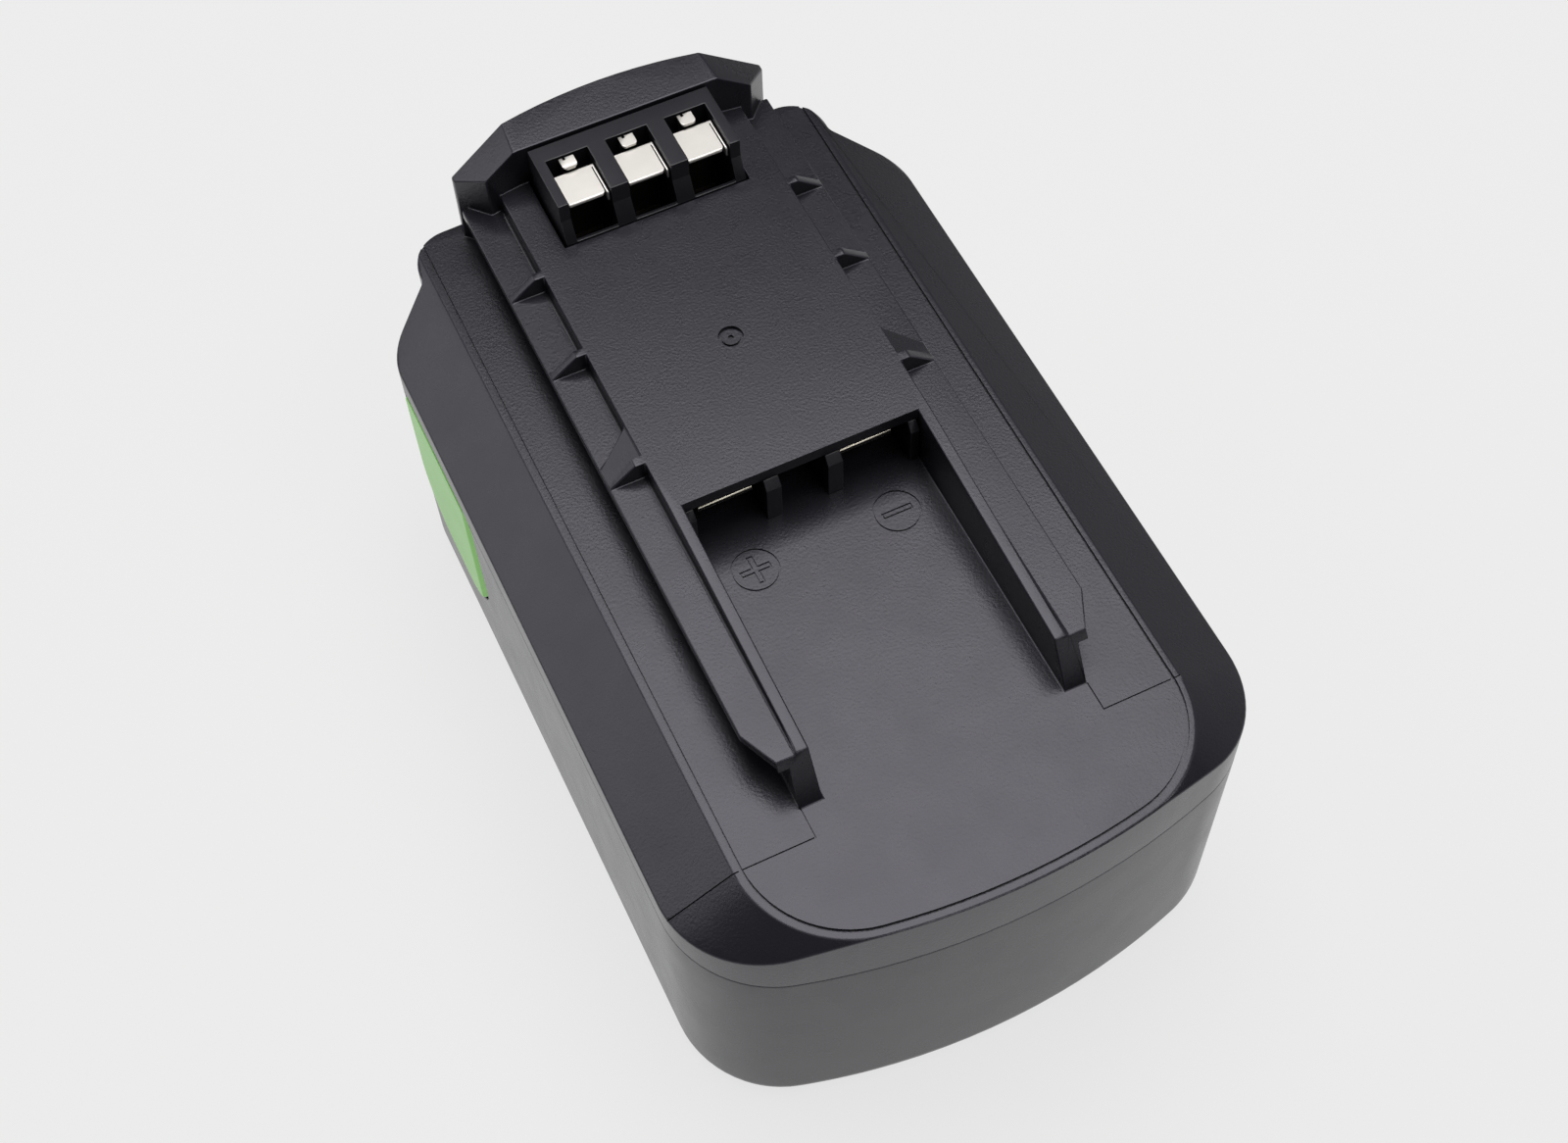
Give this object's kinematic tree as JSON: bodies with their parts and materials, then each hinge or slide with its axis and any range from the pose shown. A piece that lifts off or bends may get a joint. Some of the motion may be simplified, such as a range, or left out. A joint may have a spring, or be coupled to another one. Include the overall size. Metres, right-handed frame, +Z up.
{
  "type": "power tool battery pack",
  "caption": "Slide-on battery pack with bowed nose, bevelled deck, twin side rails, open contact bays, hooded signal terminals and sprung side release buttons.",
  "frame": {"origin": "middle of the pack's bounding box, on the flat underside", "axes": "+X to the right, -Y towards the bowed nose, +Y towards the hood over the signal terminals, +Z up"},
  "size_m": [0.0768, 0.1214, 0.0633],
  "materials": {
    "case": "charcoal plastic with a fine moulded texture",
    "black_plastic": "black moulded plastic",
    "green_plastic": "green moulded plastic",
    "seal": "soft black cord",
    "screw": "zinc plated",
    "spring": "drawn spring wire",
    "nickel": "nickel plated sheet",
    "blade": "plated contact brass",
    "cell_wrap": "shrink-wrapped cell",
    "paper": "insulating paper",
    "holder": "black moulded plastic",
    "foam": "closed cell foam",
    "board": "green solder mask",
    "component": "moulded epoxy",
    "ceramic": "ceramic with tinned ends",
    "shunt": "copper alloy bar",
    "bead": "epoxy bead"
  },
  "bodies": {
    "pack": {"lower_case": "case", "upper_case": "case", "case_seal": "seal", "case_screws": "screw", "foam_pads": "foam", "circuit_board": "board", "switching_transistors": "component", "current_shunt": "shunt", "control_chip": "component", "capacitors": "ceramic", "thermistor": "bead", "board_screws": "screw", "contact_carrier": "black_plastic", "power_contact_positive": "blade", "power_contact_negative": "blade", "terminal_block": "black_plastic", "cell_rings": "paper", "cell_holder_left": "holder", "insulation_sheet_left": "paper", "button_spring_left": "spring", "cell_holder_right": "holder", "insulation_sheet_right": "paper", "button_spring_right": "spring", "signal_contact_left": "nickel", "signal_contact_middle": "nickel", "signal_contact_right": "nickel", "cell_1": "cell_wrap", "cell_2": "cell_wrap", "cell_3": "cell_wrap", "cell_4": "cell_wrap", "cell_5": "cell_wrap", "cell_6": "cell_wrap", "cell_7": "cell_wrap", "cell_8": "cell_wrap", "cell_9": "cell_wrap", "cell_10": "cell_wrap", "nickel_strip_1": "nickel", "nickel_strip_2": "nickel", "nickel_strip_3": "nickel", "nickel_strip_4": "nickel", "nickel_strip_5": "nickel", "nickel_strip_6": "nickel"},
    "button_left": {"release_button_left": "green_plastic", "latch_slide_left": "black_plastic"},
    "button_right": {"release_button_right": "green_plastic", "latch_slide_right": "black_plastic"}
  },
  "joints": [
    {"name": "press_left", "type": "slide", "parent": "pack", "child": "button_left", "axis": [1, 0, 0], "range_m": [0, 0.0018], "stiffness_N_per_m": 400, "springref_m": -0.002, "deforming": ["button_spring_left"]},
    {"name": "press_right", "type": "slide", "parent": "pack", "child": "button_right", "axis": [-1, 0, 0], "range_m": [0, 0.0018], "stiffness_N_per_m": 400, "springref_m": -0.002, "deforming": ["button_spring_right"]}
  ]
}
